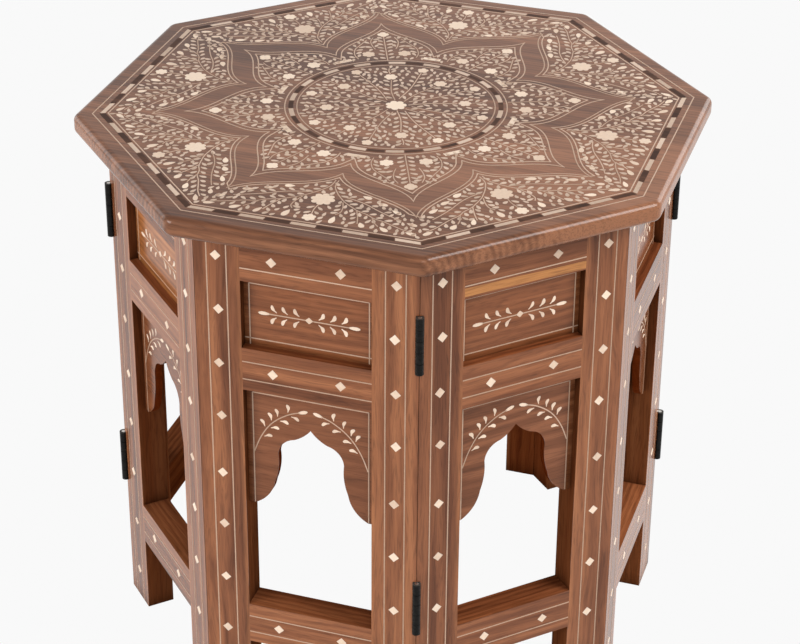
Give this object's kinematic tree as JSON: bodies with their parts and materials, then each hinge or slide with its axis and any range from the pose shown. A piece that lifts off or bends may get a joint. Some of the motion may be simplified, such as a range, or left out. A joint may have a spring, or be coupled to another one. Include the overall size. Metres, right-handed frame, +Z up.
{
  "type": "folding octagonal side table",
  "caption": "Octagonal inlaid wooden side table with a lift-off top on a folding base of hinged framed panels with pointed arches.",
  "frame": {"origin": "on the floor under the middle of the table, base open and top in place", "axes": "+Z up; -Y through the front corner of the octagon, +X through the corner on its right"},
  "size_m": [0.4872, 0.4872, 0.438],
  "materials": {
    "base_wood": "satin lacquer",
    "top_wood": "satin lacquer",
    "iron": "black",
    "bone": "polished bone",
    "dark_wood": "satin lacquer"
  },
  "bodies": {
    "panel_1": {"panel_1_stiles": "base_wood", "panel_1_rails": "base_wood", "panel_1_frieze_board": "base_wood", "panel_1_arch_board": "base_wood", "panel_1_hinge_leaves": "iron", "panel_1_hinge_pins": "iron", "panel_1_hinge_screws": "iron"},
    "panel_2": {"panel_2_stiles": "base_wood", "panel_2_rails": "base_wood", "panel_2_frieze_board": "base_wood", "panel_2_arch_board": "base_wood", "panel_2_hinge_leaves": "iron", "panel_2_hinge_pins": "iron", "panel_2_hinge_screws": "iron"},
    "panel_3": {"panel_3_stiles": "base_wood", "panel_3_rails": "base_wood", "panel_3_frieze_board": "base_wood", "panel_3_arch_board": "base_wood", "panel_3_hinge_leaves": "iron", "panel_3_hinge_pins": "iron", "panel_3_hinge_screws": "iron"},
    "panel_4": {"panel_4_stiles": "base_wood", "panel_4_rails": "base_wood", "panel_4_frieze_board": "base_wood", "panel_4_arch_board": "base_wood", "panel_4_hinge_leaves": "iron", "panel_4_hinge_pins": "iron", "panel_4_hinge_screws": "iron"},
    "panel_5": {"panel_5_stiles": "base_wood", "panel_5_rails": "base_wood", "panel_5_frieze_board": "base_wood", "panel_5_arch_board": "base_wood", "panel_5_hinge_leaves": "iron", "panel_5_hinge_pins": "iron", "panel_5_hinge_screws": "iron"},
    "panel_6": {"panel_6_stiles": "base_wood", "panel_6_rails": "base_wood", "panel_6_frieze_board": "base_wood", "panel_6_arch_board": "base_wood", "panel_6_hinge_leaves": "iron", "panel_6_hinge_pins": "iron", "panel_6_hinge_screws": "iron"},
    "panel_7": {"panel_7_stiles": "base_wood", "panel_7_rails": "base_wood", "panel_7_frieze_board": "base_wood", "panel_7_arch_board": "base_wood", "panel_7_hinge_leaves": "iron", "panel_7_hinge_pins": "iron", "panel_7_hinge_screws": "iron"},
    "panel_8": {"panel_8_stiles": "base_wood", "panel_8_rails": "base_wood", "panel_8_frieze_board": "base_wood", "panel_8_arch_board": "base_wood", "panel_8_hinge_leaves": "iron", "panel_8_hinge_pins": "iron", "panel_8_hinge_screws": "iron"},
    "top": {"top_board": "top_wood", "top_pegs": "top_wood"}
  },
  "joints": [
    {"name": "fold", "type": "hinge", "parent": "panel_1", "child": "panel_2", "pos_m": [0.13767, -0.13767, 0.2], "axis": [0, 0, 1], "range_deg": [0, 122]},
    {"name": "hinge_corner_2", "type": "hinge", "parent": "panel_2", "child": "panel_3", "pos_m": [0.2205, 0, 0.2], "axis": [0, 0, 1], "range_deg": [-40.68, 0]},
    {"name": "hinge_corner_3", "type": "hinge", "parent": "panel_3", "child": "panel_4", "pos_m": [0.13767, 0.13767, 0.2], "axis": [0, 0, 1], "range_deg": [0, 122.01]},
    {"name": "hinge_corner_4", "type": "hinge", "parent": "panel_4", "child": "panel_5", "pos_m": [0, 0.2205, 0.2], "axis": [0, 0, 1], "range_deg": [-203.35, 0]},
    {"name": "hinge_corner_0", "type": "hinge", "parent": "panel_1", "child": "panel_8", "pos_m": [0, -0.2205, 0.2], "axis": [0, 0, 1], "range_deg": [0, 203.35]},
    {"name": "hinge_corner_7", "type": "hinge", "parent": "panel_8", "child": "panel_7", "pos_m": [-0.13767, -0.13767, 0.2], "axis": [0, 0, 1], "range_deg": [-122.01, 0]},
    {"name": "hinge_corner_6", "type": "hinge", "parent": "panel_7", "child": "panel_6", "pos_m": [-0.2205, 0, 0.2], "axis": [0, 0, 1], "range_deg": [0, 40.68]},
    {"name": "top_lift", "type": "slide", "parent": "panel_1", "child": "top", "axis": [0, 0, 1], "range_m": [0, 0.06]}
  ],
  "couplings": [
    {"joint": "hinge_corner_2", "follows": "fold", "ratio": -0.33333},
    {"joint": "hinge_corner_3", "follows": "fold", "ratio": 1},
    {"joint": "hinge_corner_4", "follows": "fold", "ratio": -1.6667},
    {"joint": "hinge_corner_0", "follows": "fold", "ratio": 1.6667},
    {"joint": "hinge_corner_7", "follows": "fold", "ratio": -1},
    {"joint": "hinge_corner_6", "follows": "fold", "ratio": 0.33333}
  ]
}
